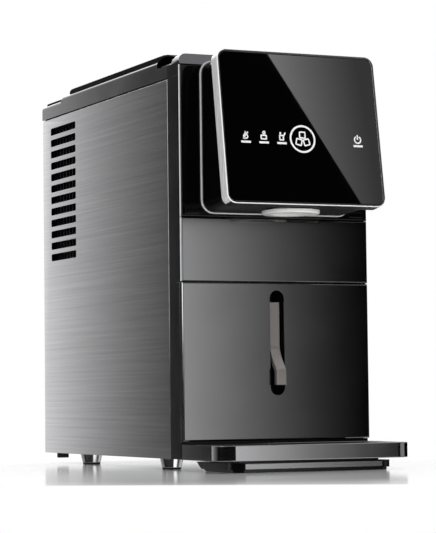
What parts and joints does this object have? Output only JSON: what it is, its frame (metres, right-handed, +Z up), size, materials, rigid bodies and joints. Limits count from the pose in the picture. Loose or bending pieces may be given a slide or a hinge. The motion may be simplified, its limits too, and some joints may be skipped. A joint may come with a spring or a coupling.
{
  "type": "countertop nugget ice maker",
  "caption": "Tall countertop ice maker with a tilted glass control head, an ice nozzle, a cup lever, a drip tray and a hinged top lid.",
  "frame": {"origin": "middle of the machine's box, on the table", "axes": "+Z up, -Y out of the front where the cup stands, +X to the right as the user faces the machine"},
  "size_m": [0.2238, 0.5146, 0.4437],
  "materials": {
    "brushed_steel": "brushed front to back",
    "zinc_sheet": "zinc coated sheet",
    "frame_black": "satin moulded",
    "upper_black": "gloss",
    "front_grey": "gloss",
    "top_grey": "satin painted",
    "lid_black": "gloss",
    "seal_rubber": "soft",
    "stainless": "ground",
    "neck_black": "gloss",
    "bright_trim": "polished",
    "bezel_metal": "brushed with a polished edge",
    "control_glass": "black printed glass with pale symbols",
    "inner_black": "moulded",
    "board_green": "solder mask",
    "nozzle_white": "satin white",
    "food_white": "moulded white",
    "lever_grey": "satin grey",
    "tray_grey": "satin painted",
    "grate_black": "satin",
    "base_black": "satin",
    "foot_metal": "plated with a black pad",
    "bin_clear": "frosted clear",
    "motor_black": "black paint",
    "insulation": "foam",
    "hose_clear": "milky silicone",
    "compressor_black": "black enamel",
    "copper": "drawn copper tube",
    "fin_aluminium": "mill finish"
  },
  "bodies": {
    "case": {"side_panel_left": "brushed_steel", "side_panel_right": "brushed_steel", "base_pan": "zinc_sheet", "back_panel": "zinc_sheet", "inner_frame": "zinc_sheet", "rear_shelf": "zinc_sheet", "front_frame": "frame_black", "upper_front_panel": "upper_black", "middle_front_panel": "front_grey", "lower_front_cover": "front_grey", "top_cover": "top_grey", "lid_hinge_pin": "stainless", "neck_housing": "neck_black", "neck_trim": "bright_trim", "head_bezel": "bezel_metal", "control_glass": "control_glass", "head_back_plate": "inner_black", "control_board": "board_green", "nozzle_ring": "nozzle_white", "ice_chute": "food_white", "gate_motor": "inner_black", "lever_pin": "stainless", "lever_spring": "stainless", "lever_channel": "inner_black", "lever_switch": "inner_black", "tray_base": "base_black", "foot_front_left": "foot_metal", "foot_front_right": "foot_metal", "foot_rear_left": "foot_metal", "foot_rear_right": "foot_metal", "ice_bin": "bin_clear", "bin_motor": "motor_black", "freezing_barrel": "insulation", "extruder_head": "food_white", "gear_motor": "motor_black", "water_tank": "bin_clear", "water_pump": "motor_black", "water_hose": "hose_clear", "compressor": "compressor_black", "compressor_pad": "seal_rubber", "hot_gas_pipe": "copper", "suction_pipe": "copper", "condenser": "fin_aluminium", "fan_shroud": "inner_black", "fan_motor": "motor_black", "power_board": "board_green", "power_inlet": "inner_black"},
    "lid": {"top_lid": "lid_black", "lid_seal": "seal_rubber"},
    "lever": {"dispense_lever": "lever_grey"},
    "plunger": {"switch_plunger": "food_white"},
    "gate": {"ice_gate": "food_white", "gate_pin": "stainless"},
    "bin_screw": {"bin_auger": "stainless"},
    "ice_screw": {"ice_auger": "stainless"},
    "fan": {"fan_rotor": "inner_black"},
    "float": {"tank_float": "food_white"},
    "tray": {"drip_tray": "tray_grey"},
    "grate": {"drip_grate": "grate_black"},
    "plug": {"drain_plug": "seal_rubber"}
  },
  "joints": [
    {"name": "lid_hinge", "type": "hinge", "parent": "case", "child": "lid", "pos_m": [0, 0.17355, 0.4354], "axis": [-1, 0, 0], "range_deg": [0, 98]},
    {"name": "lever_swing", "type": "hinge", "parent": "case", "child": "lever", "pos_m": [0, -0.14995, 0.1673], "axis": [1, 0, 0], "range_deg": [0, 9], "stiffness_Nm_per_rad": 0.05, "springref_deg": -11.46},
    {"name": "plunger_press", "type": "slide", "parent": "case", "child": "plunger", "axis": [0, 1, 0], "range_m": [0, 0.0032]},
    {"name": "gate_swing", "type": "hinge", "parent": "case", "child": "gate", "pos_m": [0, -0.18105, 0.341], "axis": [-1, 0, 0], "range_deg": [0, 40]},
    {"name": "bin_auger_spin", "type": "hinge", "parent": "case", "child": "bin_screw", "pos_m": [0, -0.17145, 0.318], "axis": [0, 1, 0], "continuous": true},
    {"name": "ice_auger_spin", "type": "hinge", "parent": "case", "child": "ice_screw", "pos_m": [-0.054, 0.06605, 0.2478], "axis": [0, 0, 1], "continuous": true},
    {"name": "fan_spin", "type": "hinge", "parent": "case", "child": "fan", "pos_m": [-0.0651, 0.19155, 0.3218], "axis": [1, 0, 0], "continuous": true},
    {"name": "float_rise", "type": "slide", "parent": "case", "child": "float", "axis": [0, 0, 1], "range_m": [0, 0.11]},
    {"name": "tray_pull", "type": "slide", "parent": "case", "child": "tray", "axis": [0, -1, 0], "range_m": [0, 0.1]},
    {"name": "grate_lift", "type": "slide", "parent": "tray", "child": "grate", "axis": [0, 0, 1], "range_m": [0, 0.04]},
    {"name": "plug_pull", "type": "slide", "parent": "case", "child": "plug", "axis": [0, 0, -1], "range_m": [0, 0.005]}
  ],
  "couplings": [
    {"joint": "plunger_press", "follows": "lever_swing", "m_per_rad": 0.0193}
  ]
}
